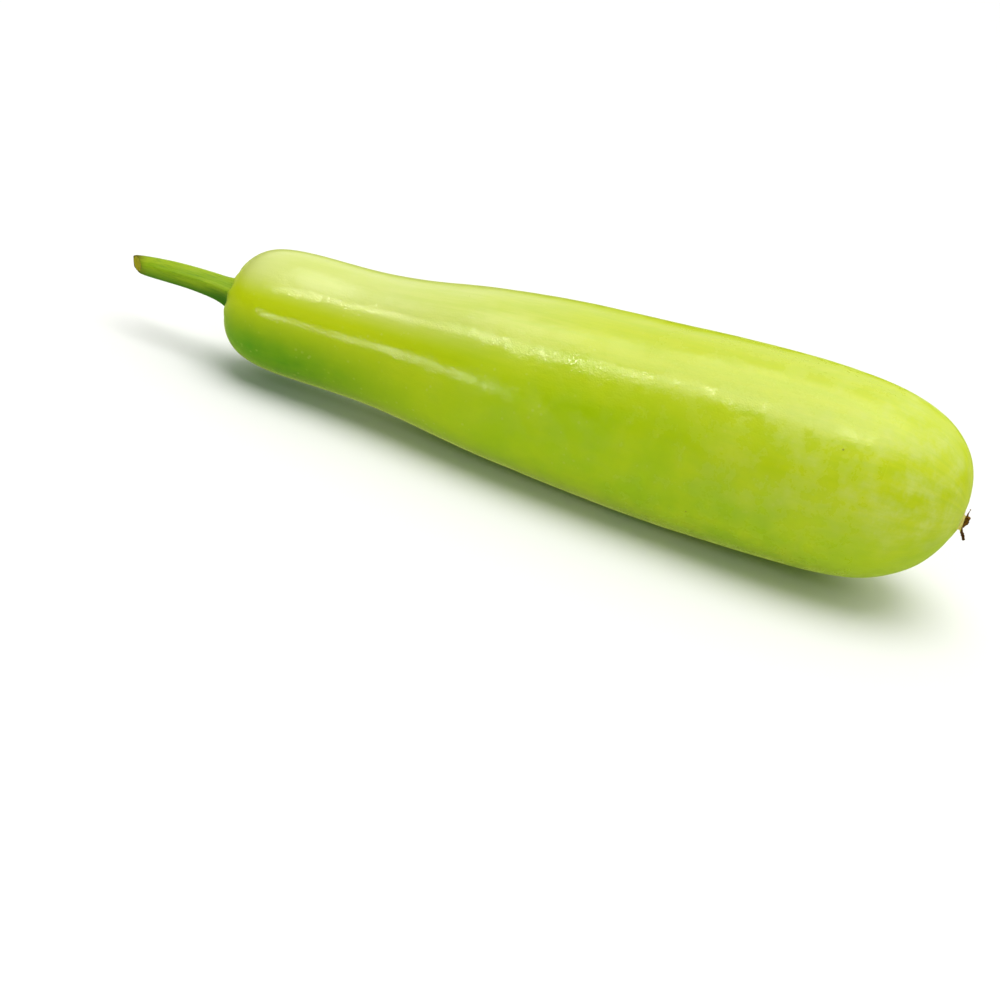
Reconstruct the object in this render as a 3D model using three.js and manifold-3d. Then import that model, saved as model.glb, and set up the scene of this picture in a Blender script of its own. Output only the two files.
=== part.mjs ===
// A bottle gourd of the long, pale green kind, picked with its stalk and lying on its side.
// Units are millimetres and +Z is up. It lies along X, with the stalk at -X and the blossom
// end at +X. The origin is on the table, under the middle of the whole object.

import * as THREE from 'three';
import { mergeVertices } from 'three/addons/utils/BufferGeometryUtils.js';
import Module from 'manifold-3d';

// Driving dimensions of the fruit. Stations are measured along X from the stalk joint.
const FRUIT_LENGTH = 320.2;
const NECK_RADIUS = 26.4;
const BELLY_RADIUS = 42.6;
const AXIS_HEIGHT = 30.6;
const BELLY_HEIGHT = 46.2;
const SETTLE = 1.0;
const SIDE_BOW = 2.0;

// Half outline of the fruit as B-spline control points: station, radius.
const OUTLINE = [
  [0, 0], [0, 7], [3.2, 15.2], [11.2, 24],
  [29, 26.8], [50, NECK_RADIUS], [80, 28.6], [110, 34.8],
  [150, 38.9], [200, 41.6], [240, BELLY_RADIUS], [269, BELLY_RADIUS],
  [295.6, 38.8], [313.4, 26.2], [319.4, 9.8], [FRUIT_LENGTH, 0],
];

// Axis of the fruit as B-spline control points: station, height before it settles.
const AXIS = [
  [-12, 30.8], [0, AXIS_HEIGHT], [25, 31], [60, 33], [110, 36.4], [165, 39.6],
  [225, 43.4], [262, BELLY_HEIGHT], [288, 48.2], [305, 46.8], [320, 44.4],
];

// Five soft lobes on the shoulder, which fade along the neck, the well of the stalk, and
// slow waves of the skin that run slantwise round the fruit.
const LOBES = 5;
const LOBE_HEIGHT = 0.45;
const LOBE_REACH = 55;
const WELL_DEPTH = 1.6;
const WELL_RADIUS = 8.5;
const SKIN_WAVE = 0.3;
const LONG_WAVE = 29;
const SHORT_WAVE = 17;

// The stalk: a five-sided green stem with a flared foot, a slight twist and a slanting cut.
const STALK_LENGTH = 44.8;
const STALK_FOOT_RADIUS = 6.4;
const STALK_RIDGE = 0.06;
const STALK_TWIST = 0.5;
const STALK_CUT_SIDE = 1;
const STALK_CUT_DROP = 0.2;
const STALK_CUT_REACH = 12;
const STALK_FOOT_BLEND = 3;

// Side of the stalk as B-spline control points: distance from the joint, radius.
const STALK_OUTLINE = [
  [0.9, STALK_FOOT_RADIUS], [1.8, 6.1], [4.5, 5.5], [10, 5.15], [18, 4.85],
  [28, 4.65], [36, 4.35], [41, 3.9], [STALK_LENGTH - 0.5, 3.55], [STALK_LENGTH, 3.2],
];

// Middle of the stalk as B-spline control points: distance from the joint, rise.
const STALK_RISE = [[0, 0], [7, 0.9], [19, 0.8], [31, -0.1], [STALK_LENGTH, -1.7]];

// The dried rest of the blossom: a corky disc, a shrivelled knob, a strand and a hair.
// Their points are measured from the far pole of the fruit: outward, upward, sideways.
const DISC_RADIUS = 3.3;
const DISC_THICKNESS = 0.7;
const DISC_RAGGED = 0.09;
const KNOB_POINTS = [[0.5, -2.0, 0.3], [1.1, -0.4, 0.1], [1.4, 1.6, -0.2], [1.2, 3.9, -0.1]];
const KNOB_RADII = [0, 0.9, 1.2, 1.35, 1.5, 1.45, 1.1, 0];
const KNOB_FOLD = 0.16;
const STRAND_POINTS = [[0.6, -1.6, -0.5], [0.9, -2.8, -0.6], [2.5, -4.3, -0.5], [4.8, -6.1, -0.1]];
const STRAND_RADII = [0, 0.7, 0.66, 0.62, 0.6, 0.6, 0.58, 0.5, 0];
const HAIR_POINTS = [[0.9, 2.8, 0.4], [0.8, 4.4, 0.6], [0.7, 6.1, 0.7]];
const HAIR_RADII = [0, 0.42, 0.38, 0.34, 0];

// Pieces that touch keep this gap, so that their surfaces never cross.
const GAP = 0.3;

// Facets: rings for each outline span, and sides around.
const FRUIT_RINGS = 3;
const FRUIT_SIDES = 56;
const STALK_RINGS = 2;
const STALK_SIDES = 30;
const REST_SIDES = 12;

const wasm = await Module();
wasm.setup();

// A point of a uniform cubic B-spline; u runs from 0 to 1 over the whole list.
function splinePoint(points, u, first, last) {
  const padded = [first, ...points, last];
  const scaled = u * (padded.length - 3);
  const span = Math.min(Math.floor(scaled), padded.length - 4);
  const f = scaled - span;
  const weights = [
    (1 - f) ** 3 / 6,
    (3 * f ** 3 - 6 * f ** 2 + 4) / 6,
    (-3 * f ** 3 + 3 * f ** 2 + 3 * f + 1) / 6,
    f ** 3 / 6,
  ];
  const point = [0, 0];
  weights.forEach((weight, i) => {
    point[0] += weight * padded[span + i][0];
    point[1] += weight * padded[span + i][1];
  });
  return point;
}

// A curve that starts and ends on its own end points.
function openSpline(points, u) {
  const n = points.length;
  const first = [2 * points[0][0] - points[1][0], 2 * points[0][1] - points[1][1]];
  const last = [2 * points[n - 1][0] - points[n - 2][0], 2 * points[n - 1][1] - points[n - 2][1]];
  return splinePoint(points, u, first, last);
}

// The half outline is mirrored past both poles, so it meets the axis squarely.
function outlinePoint(u) {
  const n = OUTLINE.length;
  const first = [OUTLINE[1][0], -OUTLINE[1][1]];
  const last = [OUTLINE[n - 2][0], -OUTLINE[n - 2][1]];
  return splinePoint(OUTLINE, u, first, last);
}

// Height of an open curve at a station, found by halving its parameter.
function curveHeight(points, station) {
  let low = 0;
  let high = 1;
  for (let step = 0; step < 30; step += 1) {
    const middle = (low + high) / 2;
    if (openSpline(points, middle)[0] < station) {
      low = middle;
    } else {
      high = middle;
    }
  }
  return openSpline(points, low)[1];
}

// Parameter near a pole at which the half outline has the given radius.
function poleParameter(radius, atBlossom) {
  let low = 0;
  let high = 2 / (OUTLINE.length - 1);
  for (let step = 0; step < 30; step += 1) {
    const middle = (low + high) / 2;
    if (outlinePoint(atBlossom ? 1 - middle : middle)[1] < radius) {
      low = middle;
    } else {
      high = middle;
    }
  }
  return atBlossom ? 1 - low : low;
}

// Shallow lobes round the shoulder and slow waves of the skin, as a change of radius.
function skinRelief(station, radius, angle) {
  const fade = Math.exp(-((station / LOBE_REACH) ** 2)) * Math.min(radius / NECK_RADIUS, 1);
  const lobe = LOBE_HEIGHT * fade * Math.cos(LOBES * angle);
  const longWave = Math.sin(station / LONG_WAVE + 2 * angle);
  const shortWave = 0.7 * Math.sin(station / SHORT_WAVE - 3 * angle + 1);
  return lobe + SKIN_WAVE * (longWave + shortWave) * Math.min(radius / BELLY_RADIUS, 1);
}

// A point of the fruit's skin. The underside is pressed flat where the weight rests.
function skinPoint(u, angle) {
  const [station, radius] = outlinePoint(u);
  const rise = curveHeight(AXIS, station);
  const slope = (curveHeight(AXIS, station + 1) - curveHeight(AXIS, station - 1)) / 2;
  const reach = radius + skinRelief(station, radius, angle);
  const tilt = Math.hypot(slope, 1);
  const well = u < 0.5 ? WELL_DEPTH * Math.exp(-((radius / WELL_RADIUS) ** 2)) : 0;
  const bow = SIDE_BOW * Math.sin((Math.PI * station) / FRUIT_LENGTH);
  return new THREE.Vector3(
    station + well - (slope / tilt) * reach * Math.cos(angle),
    bow + reach * Math.sin(angle),
    Math.max(rise - SETTLE + (reach * Math.cos(angle)) / tilt, 0),
  );
}

// Gives each vertex of a lathe its real place, from the row of its profile and the angle
// around it. A turn of -1 suits rows that run towards +X, and 1 those that run towards -X.
function shapeLathe(profile, sides, turn, place) {
  const points = profile.map((radius, row) => new THREE.Vector2(radius, row));
  const geometry = new THREE.LatheGeometry(points, sides);
  const position = geometry.attributes.position;
  for (let i = 0; i < position.count; i += 1) {
    const side = Math.floor(i / profile.length);
    const row = i % profile.length;
    const angle = (turn * 2 * Math.PI * (side % sides)) / sides;
    const point = place(row, angle);
    position.setXYZ(i, point.x, point.y, point.z);
  }
  return weld(geometry);
}

// Keeps positions only and merges the vertices that share one.
function weld(geometry) {
  geometry.deleteAttribute('normal');
  geometry.deleteAttribute('uv');
  return mergeVertices(geometry, 1e-4);
}

function toSolid(geometry) {
  const mesh = new wasm.Mesh({
    numProp: 3,
    vertProperties: new Float32Array(geometry.attributes.position.array),
    triVerts: new Uint32Array(geometry.index.array),
  });
  return new wasm.Manifold(mesh);
}

function toGeometry(solid) {
  const mesh = solid.getMesh();
  const geometry = new THREE.BufferGeometry();
  geometry.setAttribute('position', new THREE.BufferAttribute(mesh.vertProperties, 3));
  geometry.setIndex(new THREE.BufferAttribute(mesh.triVerts, 1));
  return geometry;
}

function piece(name, geometry, color, roughness) {
  geometry.computeVertexNormals();
  const material = new THREE.MeshStandardMaterial({ color, roughness, metalness: 0 });
  const mesh = new THREE.Mesh(geometry, material);
  mesh.name = name;
  return mesh;
}

// The fruit: one grown body of skin and flesh, swept round its bent axis.
function makeFruit() {
  const rows = (OUTLINE.length - 1) * FRUIT_RINGS;
  const profile = Array.from({ length: rows + 1 }, (_, row) => outlinePoint(row / rows)[1]);
  profile[0] = 0;
  profile[rows] = 0;
  return shapeLathe(profile, FRUIT_SIDES, -1, (row, angle) => skinPoint(row / rows, angle));
}

// The stalk: its foot follows the well in the fruit, and its end is cut on a slant.
function makeStalk() {
  const foot = [0, 0.45, 0.85, 1].map((share) => share * STALK_FOOT_RADIUS);
  const sideRows = (STALK_OUTLINE.length - 1) * STALK_RINGS;
  const side = Array.from({ length: sideRows + 1 }, (_, row) => openSpline(STALK_OUTLINE, row / sideRows));
  const cap = [0.5, 0].map((share) => share * side[sideRows][1]);
  const profile = [...foot, ...side.map((point) => point[1]), ...cap];
  const joint = skinPoint(0, 0);

  return shapeLathe(profile, STALK_SIDES, 1, (row, angle) => {
    const inFoot = row < foot.length;
    const sideRow = Math.min(row - foot.length, sideRows);
    const out = inFoot ? 0 : side[sideRow][0];
    const ridge = 1 + STALK_RIDGE * Math.cos(LOBES * angle + (STALK_TWIST * out) / STALK_LENGTH);
    const radius = profile[row] * ridge;
    const seat = skinPoint(poleParameter(radius, false), angle);
    seat.x -= GAP;
    if (inFoot) {
      return seat;
    }
    const y = radius * Math.sin(angle);
    const z = radius * Math.cos(angle);
    const seatShare = Math.exp(-out / STALK_FOOT_BLEND);
    const cutShare = THREE.MathUtils.smoothstep(out, STALK_LENGTH - STALK_CUT_REACH, STALK_LENGTH);
    const start = THREE.MathUtils.lerp(joint.x, seat.x, seatShare);
    const slant = cutShare * (STALK_CUT_SIDE * y + STALK_CUT_DROP * z);
    return new THREE.Vector3(
      start - out - slant,
      joint.y + y,
      joint.z + curveHeight(STALK_RISE, out) + z,
    );
  });
}

// A tapering strand along a smooth curve, with one radius for each step and soft folds.
function makeStrand(points, radii, fold) {
  const path = new THREE.CatmullRomCurve3(points);
  const steps = radii.length - 1;
  const frames = path.computeFrenetFrames(steps);
  return toSolid(shapeLathe(radii, REST_SIDES, 1, (row, angle) => {
    const reach = radii[row] * (1 + fold * Math.cos(3 * angle + row));
    return path.getPointAt(row / steps)
      .addScaledVector(frames.normals[row], reach * Math.cos(angle))
      .addScaledVector(frames.binormals[row], reach * Math.sin(angle));
  }));
}

// The rest of the blossom, one dry body that sits on the scar at the fruit's far pole.
function makeBlossomRest() {
  const pole = skinPoint(1, 0);
  const above = skinPoint(poleParameter(DISC_RADIUS, true), 0);
  const below = skinPoint(poleParameter(DISC_RADIUS, true), Math.PI);
  const sideways = new THREE.Vector3(0, 1, 0);
  const upward = above.clone().sub(below).normalize();
  const outward = sideways.clone().cross(upward).normalize();
  const place = (points) => points.map(([out, up, side]) => pole.clone()
    .addScaledVector(outward, GAP + out)
    .addScaledVector(upward, up)
    .addScaledVector(sideways, side));

  const discShares = [0, 0.5, 1, 0.93, 0.55, 0];
  const discLifts = [0, 0, 0, 0.7, 1, 1.1];
  const discProfile = discShares.map((share) => share * DISC_RADIUS);
  const disc = shapeLathe(discProfile, 2 * REST_SIDES, -1, (row, angle) => {
    const ragged = 1 + DISC_RAGGED * (Math.cos(2 * angle + 0.6) + 0.5 * Math.cos(5 * angle));
    const point = skinPoint(poleParameter(discProfile[row] * ragged, true), angle);
    return point.addScaledVector(outward, GAP + discLifts[row] * DISC_THICKNESS);
  });

  return toGeometry(toSolid(disc)
    .add(makeStrand(place(KNOB_POINTS), KNOB_RADII, KNOB_FOLD))
    .add(makeStrand(place(STRAND_POINTS), STRAND_RADII, 0))
    .add(makeStrand(place(HAIR_POINTS), HAIR_RADII, 0)));
}

const gourd = new THREE.Group();
gourd.add(piece('fruit', makeFruit(), 0xb4cf3c, 0.38));
gourd.add(piece('stem', makeStalk(), 0x7fa61c, 0.55));
gourd.add(piece('blossom_remnant', makeBlossomRest(), 0x5b3410, 0.9));

// The origin goes under the middle of the bounding box, on the table.
const box = new THREE.Box3().setFromObject(gourd);
const middle = box.getCenter(new THREE.Vector3());
gourd.position.set(-middle.x, -middle.y, -box.min.z);

export default gourd;
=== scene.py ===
# %% [markdown]
# This lesson makes one bottle gourd of the long, pale green kind. It was picked with its
# stalk and lies on a table, stalk to the left. Its size and place were settled in the CAD
# model, so that model is loaded first and its box is kept. The finer pieces made here stay
# inside that box. Blender's own unit is the metre: X runs along the gourd and Z is up.

# %% Load the frame
import math

import bpy
import numpy as np
from mathutils import Matrix, Vector, noise


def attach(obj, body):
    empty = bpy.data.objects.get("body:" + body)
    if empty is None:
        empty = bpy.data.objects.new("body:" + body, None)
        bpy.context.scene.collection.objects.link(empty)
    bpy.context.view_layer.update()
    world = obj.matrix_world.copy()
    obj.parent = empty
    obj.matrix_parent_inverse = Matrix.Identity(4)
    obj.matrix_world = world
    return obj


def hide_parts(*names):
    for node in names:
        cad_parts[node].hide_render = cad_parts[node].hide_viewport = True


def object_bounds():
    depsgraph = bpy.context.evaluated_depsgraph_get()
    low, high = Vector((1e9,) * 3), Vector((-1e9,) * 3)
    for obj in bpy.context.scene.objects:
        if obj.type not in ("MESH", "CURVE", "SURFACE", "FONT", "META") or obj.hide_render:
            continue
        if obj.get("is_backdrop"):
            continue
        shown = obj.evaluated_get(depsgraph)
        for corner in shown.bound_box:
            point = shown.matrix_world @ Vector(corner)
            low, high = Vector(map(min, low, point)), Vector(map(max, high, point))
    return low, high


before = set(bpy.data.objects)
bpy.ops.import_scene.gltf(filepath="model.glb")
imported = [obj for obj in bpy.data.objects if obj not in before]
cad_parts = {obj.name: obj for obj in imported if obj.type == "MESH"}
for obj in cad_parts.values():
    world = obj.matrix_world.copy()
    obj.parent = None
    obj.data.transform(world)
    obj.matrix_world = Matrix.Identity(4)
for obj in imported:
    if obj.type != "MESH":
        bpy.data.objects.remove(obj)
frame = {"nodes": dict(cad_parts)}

cad_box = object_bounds()
print("nodes to dress:", ", ".join(frame["nodes"]))

# %% [markdown]
# The camera comes before the pieces, because it decides how much detail each of them needs.
# A long lens from a little over a metre flattens the perspective as in a product shot. The
# view is from above and a little from the blossom end, and in the picture the gourd slopes
# down to the right. Here the gourd lies level, so the camera itself is rolled. It could be
# set by rotation angles, but three axes in a matrix keep yaw, rise and roll apart, and one
# more small turn puts the point aimed at on its own pixel instead of the picture's middle.

# %% Set up the camera
LENS = 100.0
SENSOR = 36.0
PICTURE = 1000.0
CLIP_END = 100.0
CAMERA_YAW = math.radians(8)
CAMERA_RISE = math.radians(20)
CAMERA_ROLL = math.radians(17)
CAMERA_DISTANCE = 1.15
AIM = Vector((0.0261, -0.0011, 0.039))
AIM_PIXEL = (600.0, 403.5)


def camera_axes():
    """Right, up and back of the rolled camera as a matrix, and back by itself."""
    back = Vector((
        math.sin(CAMERA_YAW) * math.cos(CAMERA_RISE),
        -math.cos(CAMERA_YAW) * math.cos(CAMERA_RISE),
        math.sin(CAMERA_RISE),
    ))
    right = Vector((0, 0, 1)).cross(back).normalized()
    up = back.cross(right)
    rolled_right = right * math.cos(CAMERA_ROLL) + up * math.sin(CAMERA_ROLL)
    rolled_up = up * math.cos(CAMERA_ROLL) - right * math.sin(CAMERA_ROLL)
    return Matrix((rolled_right, rolled_up, back)).transposed(), back


def aim_turn():
    """The small turn from the picture's middle to the pixel aimed at."""
    focal = LENS / SENSOR * PICTURE
    across = (AIM_PIXEL[0] - PICTURE / 2) / focal
    down = (AIM_PIXEL[1] - PICTURE / 2) / focal
    off_centre = Vector((across, -down, -1)).normalized()
    return Vector((0, 0, -1)).rotation_difference(off_centre).to_matrix()


def place_camera():
    facing, back = camera_axes()
    camera = bpy.data.objects.new("camera", bpy.data.cameras.new("camera"))
    camera.data.lens = LENS
    camera.data.sensor_width = SENSOR
    camera.data.clip_end = CLIP_END
    turned = (facing @ aim_turn().transposed()).to_4x4()
    camera.matrix_world = Matrix.Translation(AIM + back * CAMERA_DISTANCE) @ turned
    bpy.context.scene.collection.objects.link(camera)
    bpy.context.scene.camera = camera
    return camera


camera = place_camera()
print("camera stands at", [round(v, 3) for v in camera.location])

# %% [markdown]
# A gourd grows as a smooth skin round a bent axis. A modeller could sculpt it or lathe it,
# but here the same two B-spline curves that shaped the CAD solid are used again: the half
# outline gives a radius for each station along the fruit, and the axis gives its height.
# That keeps the fine mesh on the CAD solid, and it only adds detail. Values are in
# millimetres, which are easier to think in, and become metres when a mesh is made.

# %% Curves that shape the fruit
MM = 0.001
FRUIT_LENGTH = 320.2
NECK_RADIUS = 26.4
BELLY_RADIUS = 42.6

# Each pair of the outline is a station and the radius there.
OUTLINE = np.array([
    (0, 0), (0, 7), (3.2, 15.2), (11.2, 24),
    (29, 26.8), (50, NECK_RADIUS), (80, 28.6), (110, 34.8),
    (150, 38.9), (200, 41.6), (240, BELLY_RADIUS), (269, BELLY_RADIUS),
    (295.6, 38.8), (313.4, 26.2), (319.4, 9.8), (FRUIT_LENGTH, 0),
])
# Each pair of the axis is a station and its height there.
AXIS = np.array([
    (-12, 30.8), (0, 30.6), (25, 31), (60, 33), (110, 36.4), (165, 39.6),
    (225, 43.4), (262, 46.2), (288, 48.2), (305, 46.8), (320, 44.4),
])


def spline(points, shares, first, last):
    """Points of a uniform cubic B-spline; a share runs from 0 to 1 over the whole list."""
    padded = np.vstack([first, points, last])
    scaled = np.asarray(shares, dtype=float) * (len(padded) - 3)
    span = np.minimum(np.floor(scaled).astype(int), len(padded) - 4)
    f = scaled - span
    weights = (
        (1 - f) ** 3 / 6,
        (3 * f ** 3 - 6 * f ** 2 + 4) / 6,
        (-3 * f ** 3 + 3 * f ** 2 + 3 * f + 1) / 6,
        f ** 3 / 6,
    )
    return sum(weight[..., None] * padded[span + i] for i, weight in enumerate(weights))


def open_spline(points, shares):
    """A B-spline that starts and ends on its own end points."""
    return spline(points, shares, 2 * points[0] - points[1], 2 * points[-1] - points[-2])


def outline_point(shares):
    """The half outline, mirrored past both poles so that it meets the axis squarely."""
    return spline(OUTLINE, shares, OUTLINE[1] * (1, -1), OUTLINE[-2] * (1, -1))


FINE_STEPS = 6000
FINE = np.linspace(0, 1, FINE_STEPS + 1)
AXIS_CURVE = open_spline(AXIS, FINE)
OUTLINE_CURVE = outline_point(FINE)


def axis_height(station):
    return np.interp(station, AXIS_CURVE[:, 0], AXIS_CURVE[:, 1])


first_station, last_station = OUTLINE_CURVE[[0, -1], 0].round(2)
print("outline runs from", first_station, "to", last_station, "mm")

# %% [markdown]
# The skin isn't a perfect lathe shape. Five soft lobes run down from the shoulder, and slow
# waves wander slantwise round the body. Both could be sculpted, but as formulas of station
# and angle they are the same as in the CAD solid, and they can be turned up or down later.

# %% Lobes and slow waves
LOBES = 5
LOBE_HEIGHT = 0.45
LOBE_REACH = 55
WAVE_HEIGHT = 0.3
LONG_WAVE = 29
SHORT_WAVE = 17
SHORT_WAVE_SHARE = 0.7


def broad_relief(station, radius, angle):
    """Lobes and slow waves, the same as in the CAD solid."""
    fade = np.exp(-((station / LOBE_REACH) ** 2)) * np.minimum(radius / NECK_RADIUS, 1)
    lobe = LOBE_HEIGHT * fade * np.cos(LOBES * angle)
    long_wave = np.sin(station / LONG_WAVE + 2 * angle)
    short_wave = SHORT_WAVE_SHARE * np.sin(station / SHORT_WAVE - 3 * angle + 1)
    return lobe + WAVE_HEIGHT * (long_wave + short_wave) * np.minimum(radius / BELLY_RADIUS, 1)


print("broad relief reaches", round(LOBE_HEIGHT + WAVE_HEIGHT * (1 + SHORT_WAVE_SHARE), 2), "mm")

# %% [markdown]
# Finer relief comes on top. Round the stalk the skin gathers into short ribs. Round the
# blossom scar it puckers and rises to a small rim. Low dents of a tenth of a millimetre
# break up every highlight, and all of them are sunk a little, so that the skin stays inside
# the CAD box. All this is real geometry, so it also shows in the outline. Only the grain of
# the skin is left to bump.

# %% Ribs, puckers and dents
RIB_COUNT = 10
RIB_HEIGHT = 0.22
SCAR_RIM_HEIGHT = 0.28
PUCKER_COUNT = 13
PUCKER_HEIGHT = 0.16
DENT_SINK = 0.07
# Each pair is a size and a height in millimetres.
DENT_SIZES = ((24, 0.20), (11, 0.075), (5.5, 0.028))


def soft_ring(radius, middle, width):
    """1 on a ring at the middle radius, and less on both sides of it."""
    return np.exp(-(((radius - middle) / width) ** 2))


def end_relief(station, radius, angle):
    """Short ribs round the stalk, puckers and a low rim round the blossom scar."""
    rib_waves = np.cos(RIB_COUNT * angle + 0.4 * np.sin(2 * angle))
    ribs = RIB_HEIGHT * soft_ring(radius, 11, 6) * rib_waves
    rim = SCAR_RIM_HEIGHT * soft_ring(radius, 4.3, 0.9)
    pucker_waves = np.cos(PUCKER_COUNT * angle + 1.3 * np.sin(3 * angle))
    uneven = 0.7 + 0.3 * np.cos(2 * angle + 1)
    puckers = PUCKER_HEIGHT * soft_ring(radius, 6.5, 2.4) * (pucker_waves * uneven)
    return np.where(station < FRUIT_LENGTH / 2, ribs, rim + puckers)


def dents(points):
    """Low dents of three sizes, from noise in space, so that they have no seam."""
    total = np.full(len(points), -DENT_SINK)
    for size, height in DENT_SIZES:
        offset = Vector((size, 3.7, 1.1))
        total += height * np.array([noise.noise(Vector(point / size) + offset) for point in points])
    return total


print("dents of", ", ".join(str(size) for size, _ in DENT_SIZES), "mm, sunk by", DENT_SINK, "mm")

# %% [markdown]
# A point of the skin comes from its place on the outline and its angle round the axis. Each
# section stands square to the bent axis, the whole fruit bows a little to one side, and a
# shallow well takes the stalk. The fine relief then moves the point along its normal, which
# is measured from the neighbours. The underside is cut off at the table, as the weight
# presses the rind flat there. Whole arrays of points are much faster than one at a time.

# %% Points on the skin
SETTLE = 1.0
SIDE_BOW = 2.0
WELL_DEPTH = 1.6
WELL_RADIUS = 8.5
# The middle of the CAD model's box, in the fruit's own stations and side places.
MIDDLE_X = 138.9137
MIDDLE_Y = 1.0772


def outward_normals(points):
    """Unit normals of a ring grid, from the differences between its neighbours."""
    along = np.gradient(points, axis=0)
    around = np.roll(points, -1, axis=1) - np.roll(points, 1, axis=1)
    normal = np.cross(around, along)
    normal[0] = normal[1].mean(axis=0)
    normal[-1] = normal[-2].mean(axis=0)
    length = np.linalg.norm(normal, axis=-1, keepdims=True)
    normal = normal / np.maximum(length, 1e-12)
    middle = points.mean(axis=1, keepdims=True)
    sign = np.sign((normal[1:-1] * (points - middle)[1:-1]).sum())
    return normal * (sign if sign else 1)


def skin_points(shares, angles, fine=True):
    """Skin points in millimetres for arrays of outline shares and angles of one shape."""
    station, radius = np.moveaxis(outline_point(shares), -1, 0)
    rise = axis_height(station)
    slope = (axis_height(station + 1) - axis_height(station - 1)) / 2
    reach = radius + broad_relief(station, radius, angles)
    tilt = np.hypot(slope, 1)
    well = np.where(shares < 0.5, WELL_DEPTH * np.exp(-((radius / WELL_RADIUS) ** 2)), 0)
    bow = SIDE_BOW * np.sin(math.pi * station / FRUIT_LENGTH)
    points = np.stack([
        station + well - slope / tilt * reach * np.cos(angles) - MIDDLE_X,
        bow + reach * np.sin(angles) - MIDDLE_Y,
        rise - SETTLE + reach * np.cos(angles) / tilt,
    ], axis=-1)
    if fine:
        outward = outward_normals(points)
        flat = points.reshape(-1, 3)
        lift = end_relief(station, radius, angles) + dents(flat).reshape(shares.shape)
        points = points + outward * lift[..., None]
    points[..., 2] = np.maximum(points[..., 2], 0)
    return points


def skin_pole(share):
    """The pole of the bare skin: share 0 at the stalk, share 1 at the blossom end."""
    return skin_points(np.array([[share]]), np.array([[0.0]]), fine=False)[0, 0]


print("pole under the stalk, in mm:", skin_pole(0.0).round(1))
print("pole under the blossom rest, in mm:", skin_pole(1.0).round(1))

# %% [markdown]
# The skin is laid out as rings of points from pole to pole. Rings at even distances would
# leave the tight curves at both ends coarse, so their spacing is a mean of even distance
# and even spline share. The points of each ring are joined to the next with quads, and a
# fan of triangles closes each pole. Subdividing a rough cage would also give a smooth skin,
# but it would shrink away from the CAD solid.

# %% Build the fruit
FRUIT_RINGS = 360
FRUIT_SIDES = 264


def ring_shares(rings):
    """Outline shares of the rings, a mean of even distance and even share."""
    steps = np.linalg.norm(np.diff(OUTLINE_CURVE, axis=0), axis=1)
    distance = np.concatenate([[0], np.cumsum(steps)])
    even = np.linspace(0, 1, rings + 1)
    by_distance = np.interp(even * distance[-1], distance, FINE)
    return (even + by_distance) / 2


def ring_mesh(name, grid, flip=False):
    """A closed mesh in metres from rings of points; the first and last ring are poles."""
    rings, sides = grid.shape[:2]
    body = grid[1:-1].reshape(-1, 3)
    vertices = np.vstack([grid[0, :1], body, grid[-1, :1]]) * MM
    last = len(vertices) - 1
    end = 1 + (rings - 3) * sides
    faces = []
    for side in range(sides):
        after = (side + 1) % sides
        faces.append((0, 1 + after, 1 + side))
        faces.append((last, end + side, end + after))
    for start in range(1, end, sides):
        for side in range(sides):
            after = (side + 1) % sides
            faces.append((start + side, start + after, start + sides + after, start + sides + side))
    if flip:
        faces = [face[::-1] for face in faces]
    mesh = bpy.data.meshes.new(name)
    mesh.from_pydata(vertices.tolist(), [], faces)
    mesh.shade_smooth()
    return mesh


def add_piece(name, mesh):
    piece = bpy.data.objects.new(name, mesh)
    bpy.context.scene.collection.objects.link(piece)
    return piece


def round_angles(sides):
    """Even angles round a ring, as one row."""
    return np.linspace(0, 2 * math.pi, sides, endpoint=False)[None, :]


shares = np.repeat(ring_shares(FRUIT_RINGS)[:, None], FRUIT_SIDES, axis=1)
angles = np.repeat(round_angles(FRUIT_SIDES), FRUIT_RINGS + 1, axis=0)
fruit = add_piece("gourd_fruit", ring_mesh("gourd_fruit", skin_points(shares, angles), flip=True))
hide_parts("fruit")
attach(fruit, "root")
print("fruit:", len(fruit.data.polygons), "faces")

# %% [markdown]
# The stalk of a gourd is a tough, five-sided stem. It flares where it grips the fruit, and
# it twists a little. A plain tube along a curve would be too round, so its section is a
# formula: five ridges that are sharper than in the CAD solid, a fine groove between each
# pair, and shallow fibres that run its whole length.

# %% Shape of the stalk
STALK_LENGTH = 44.8
STALK_FOOT_RADIUS = 6.4
STALK_RIDGE = 0.06
STALK_TWIST = 0.5
STALK_SIDES = 160
STALK_ANGLES = round_angles(STALK_SIDES)
# Each pair is a distance out from the skin and the radius there.
STALK_OUTLINE = np.array([
    (0.9, STALK_FOOT_RADIUS), (1.8, 6.1), (4.5, 5.5), (10, 5.15), (18, 4.85),
    (28, 4.65), (36, 4.35), (41, 3.9), (STALK_LENGTH - 0.5, 3.55), (STALK_LENGTH, 3.2),
])
# Each pair is a distance out and how far the stalk has risen there.
STALK_RISE = np.array([(0, 0), (7, 0.9), (19, 0.8), (31, -0.1), (STALK_LENGTH, -1.7)])


def stalk_section(angle, out):
    """Radius factor of the five-sided section: ridges, grooves between them and fibres."""
    turned = LOBES * angle + STALK_TWIST * out / STALK_LENGTH
    ridge = STALK_RIDGE * (np.cos(turned) + 0.28 * np.cos(2 * turned)) - 0.3 * STALK_RIDGE
    wander = 0.6 * np.sin(out / 9.0) + 0.4 * np.sin(out / 3.7 + 2)
    fibres = 0.006 * np.cos(31 * angle + wander) + 0.004 * np.cos(53 * angle - 1.7 * wander)
    return 1 + ridge + fibres


section = stalk_section(STALK_ANGLES, 0)
print("radius factor round the stalk:", section.min().round(3), "to", section.max().round(3))

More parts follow.
